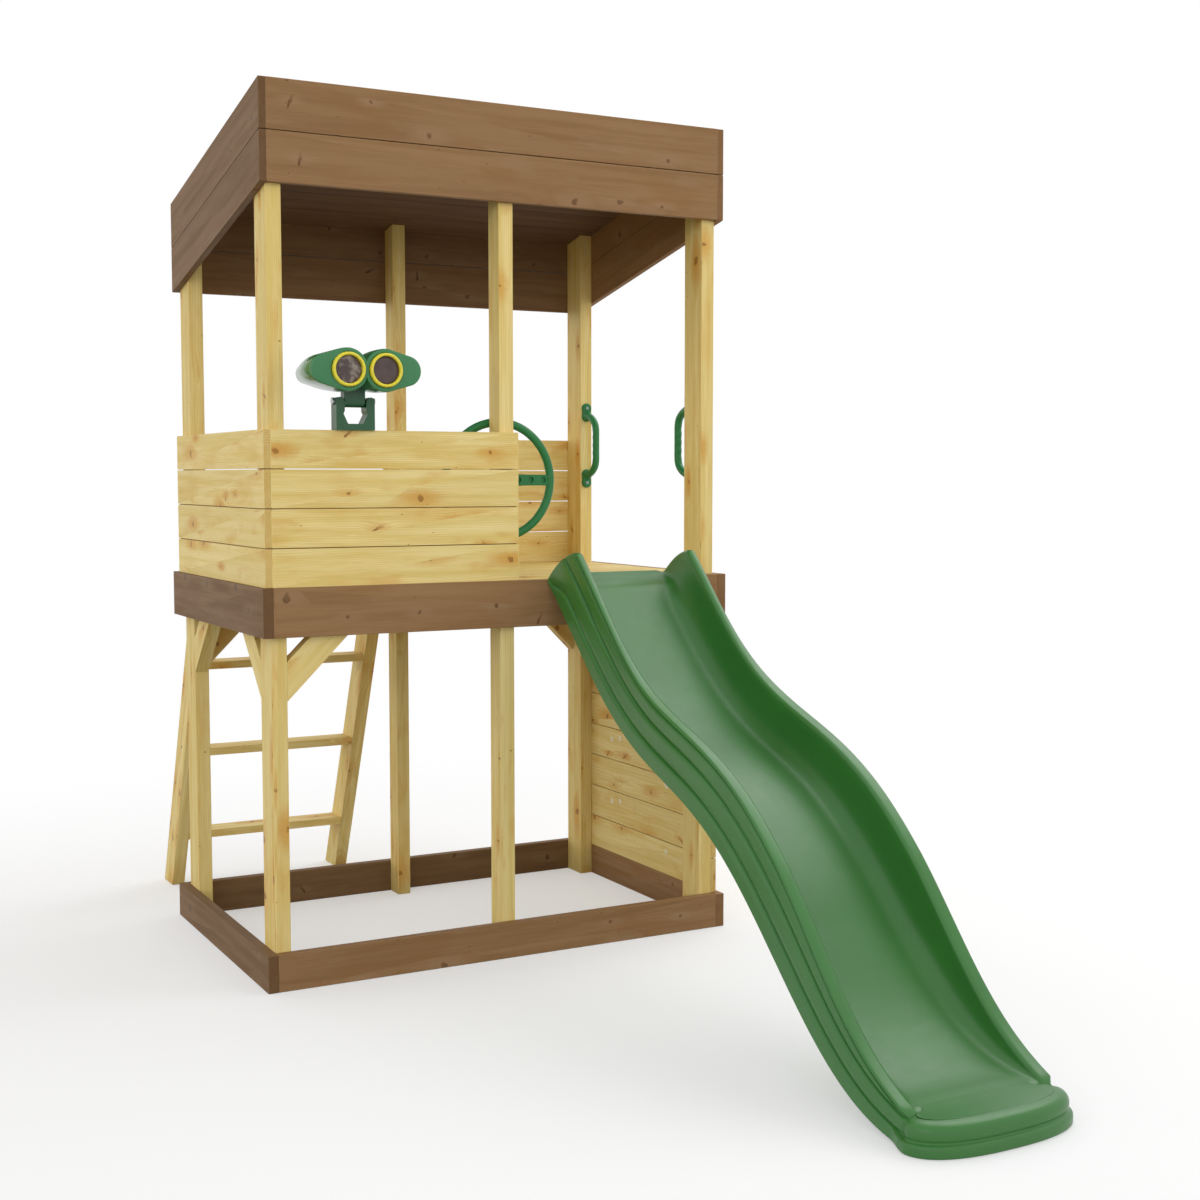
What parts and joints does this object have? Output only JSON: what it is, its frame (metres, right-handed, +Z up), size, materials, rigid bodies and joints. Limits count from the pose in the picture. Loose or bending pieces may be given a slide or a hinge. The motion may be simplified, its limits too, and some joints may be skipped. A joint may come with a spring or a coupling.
{
  "type": "play tower with slide",
  "caption": "Timber play tower with a lean-to roof, raised deck, moulded wave slide, ladder, climbing wall, steering wheel and binoculars.",
  "frame": {"origin": "on the ground, under the middle of the front base board", "axes": "+Z up, +X to the right along the front, +Y from the front to the back; the slide leaves towards -Y"},
  "size_m": [1.215, 2.614, 1.997],
  "materials": {
    "pine_timber": "planed softwood, light and slightly yellow, small brown knots",
    "stained_timber": "planed softwood with a brown stain, grain and knots showing through",
    "slide_plastic": "moulded green polyethylene, satin",
    "fitting_plastic": "moulded green plastic, satin",
    "gloss_green": "glossy moulded green plastic",
    "ring_yellow": "glossy yellow plastic",
    "lens_dark": "dark glossy lens",
    "zinc_steel": "zinc plated steel"
  },
  "bodies": {
    "tower": {"post_front_left": "pine_timber", "post_front_mid": "pine_timber", "post_front_right": "pine_timber", "post_back_left": "pine_timber", "post_back_mid": "pine_timber", "post_back_right": "pine_timber", "base_front": "stained_timber", "base_back": "stained_timber", "base_left": "stained_timber", "base_right": "stained_timber", "skirt_front": "stained_timber", "skirt_back": "stained_timber", "skirt_left": "stained_timber", "skirt_right": "stained_timber", "deck_joists": "pine_timber", "deck_boards": "pine_timber", "braces_front": "pine_timber", "braces_back": "pine_timber", "braces_left": "pine_timber", "braces_right": "pine_timber", "front_panel": "pine_timber", "left_panel": "pine_timber", "back_panel": "pine_timber", "climbing_wall": "pine_timber", "climbing_holds": "fitting_plastic", "roof_front": "stained_timber", "roof_back": "stained_timber", "roof_left": "stained_timber", "roof_right": "stained_timber", "roof_sheet": "stained_timber", "ladder_stringer_left": "pine_timber", "ladder_stringer_right": "pine_timber", "ladder_treads": "pine_timber", "slide": "slide_plastic", "grab_handle_front": "fitting_plastic", "grab_handle_back": "fitting_plastic", "wheel_axle": "zinc_steel", "binocular_bracket": "gloss_green", "binocular_pin": "zinc_steel"},
    "wheel": {"steering_wheel": "fitting_plastic"},
    "binoculars": {"binocular_body": "gloss_green", "binocular_rings": "ring_yellow", "binocular_lenses": "lens_dark"}
  },
  "joints": [
    {"name": "wheel_spin", "type": "hinge", "parent": "tower", "child": "wheel", "pos_m": [0.013, 0.082, 1.135], "axis": [0, 1, 0], "continuous": true},
    {"name": "binocular_tilt", "type": "hinge", "parent": "tower", "child": "binoculars", "pos_m": [-0.379, 0.0045, 1.31], "axis": [1, 0, 0], "range_deg": [-12, 12]}
  ]
}
